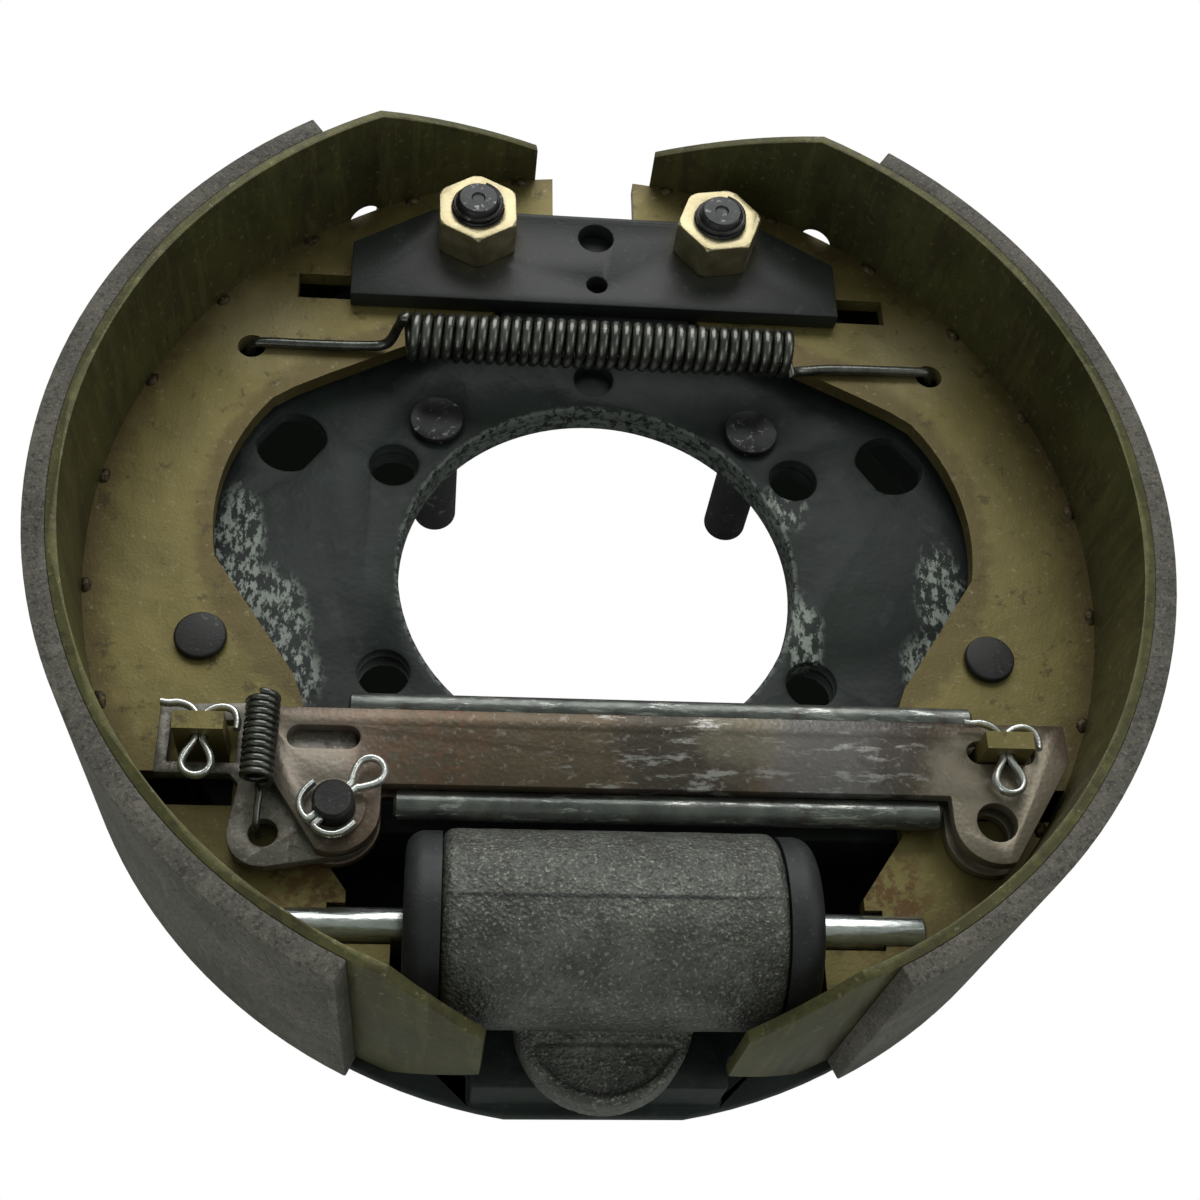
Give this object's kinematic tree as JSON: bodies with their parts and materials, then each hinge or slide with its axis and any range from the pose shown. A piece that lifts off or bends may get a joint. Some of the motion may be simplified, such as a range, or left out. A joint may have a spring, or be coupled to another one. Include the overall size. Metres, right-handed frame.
{
  "type": "hydraulic trailer drum brake assembly",
  "caption": "Hydraulic drum brake for a trailer axle: pressed backing plate, pair of anchored shoes, wheel cylinder, return springs and a parking strut with lever.",
  "frame": {"origin": "drum axis at the rear face that seats on the axle flange", "axes": "+Z along the drum axis away from the axle, +Y towards the anchor studs, +X to the right seen from the drum side"},
  "size_m": [0.3112, 0.3065, 0.105],
  "materials": {
    "plate_paint": "satin dark blue-black paint, scuffed",
    "bar_paint": "satin black paint, chipped edges",
    "stud_steel": "dark oiled steel",
    "nut_zinc": "yellow zinc",
    "shoe_zinc": "yellow zinc with brown heat stains",
    "lining": "moulded friction material, speckled",
    "cast_iron": "rough sand casting",
    "bolt_zinc": "dull zinc",
    "brass": "machined",
    "rubber": "moulded black rubber",
    "piston_alloy": "anodised",
    "rod_zinc": "bright zinc",
    "spring_steel": "oil-tempered, worn highlights",
    "strut_steel": "bare steel, brown and blue heat tint",
    "rod_dark": "dark mill finish, scuffed",
    "lever_steel": "bare steel, light grey",
    "pin_black": "blackened",
    "split_zinc": "bright zinc"
  },
  "bodies": {
    "base": {"backing_plate": "plate_paint", "flange_ring": "plate_paint", "anchor_block": "bar_paint", "guide_bar": "bar_paint", "anchor_stud_left": "stud_steel", "anchor_stud_right": "stud_steel", "anchor_nut_left": "nut_zinc", "anchor_nut_right": "nut_zinc", "mount_stud_left": "stud_steel", "mount_stud_right": "stud_steel", "wheel_cylinder": "cast_iron", "cylinder_bolts": "bolt_zinc", "cylinder_washers": "bolt_zinc", "bleed_screw": "brass", "bleed_cap": "rubber", "cup_spring": "bolt_zinc", "boot_left": "rubber", "boot_right": "rubber", "shoe_return_spring": "spring_steel"},
    "shoe_left": {"web_left": "shoe_zinc", "table_left": "shoe_zinc", "lining_left": "lining", "steady_pin_left": "pin_black", "tab_split_pin_left": "split_zinc"},
    "shoe_right": {"web_right": "shoe_zinc", "table_right": "shoe_zinc", "lining_right": "lining", "steady_pin_right": "pin_black", "tab_split_pin_right": "split_zinc"},
    "piston_left": {"piston_left": "piston_alloy", "cup_left": "rubber", "push_rod_left": "rod_zinc"},
    "piston_right": {"piston_right": "piston_alloy", "cup_right": "rubber", "push_rod_right": "rod_zinc"},
    "strut": {"strut_top_plate": "strut_steel", "strut_bottom_plate": "strut_steel", "strut_rod_front": "rod_dark", "strut_rod_rear": "rod_dark", "clevis_pin": "pin_black", "clevis_washer": "strut_steel", "clevis_split_pin": "split_zinc", "lever_spring": "spring_steel"},
    "lever": {"handbrake_lever": "lever_steel"}
  },
  "joints": [
    {"name": "shoe_left_swing", "type": "hinge", "parent": "base", "child": "shoe_left", "pos_m": [-0.0383, 0.1142, 0.017], "axis": [0, 0, -1], "range_deg": [0, 0.35]},
    {"name": "piston_left_slide", "type": "slide", "parent": "base", "child": "piston_left", "axis": [-1, 0, 0], "range_m": [0, 0.0014]},
    {"name": "shoe_right_swing", "type": "hinge", "parent": "base", "child": "shoe_right", "pos_m": [0.0383, 0.1142, 0.017], "axis": [0, 0, 1], "range_deg": [0, 0.35]},
    {"name": "piston_right_slide", "type": "slide", "parent": "base", "child": "piston_right", "axis": [1, 0, 0], "range_m": [0, 0.0014]},
    {"name": "strut_slide", "type": "slide", "parent": "base", "child": "strut", "axis": [1, 0, 0], "range_m": [0, 0.0008]},
    {"name": "lever_turn", "type": "hinge", "parent": "strut", "child": "lever", "pos_m": [-0.0716, -0.0863, 0.0253], "axis": [0, 0, 1], "range_deg": [0, 3.1]}
  ],
  "couplings": [
    {"joint": "piston_left_slide", "follows": "shoe_left_swing", "m_per_rad": 0.2267},
    {"joint": "piston_right_slide", "follows": "shoe_right_swing", "m_per_rad": 0.2267},
    {"joint": "lever_turn", "follows": "strut_slide", "rad_per_m": 65.45}
  ]
}
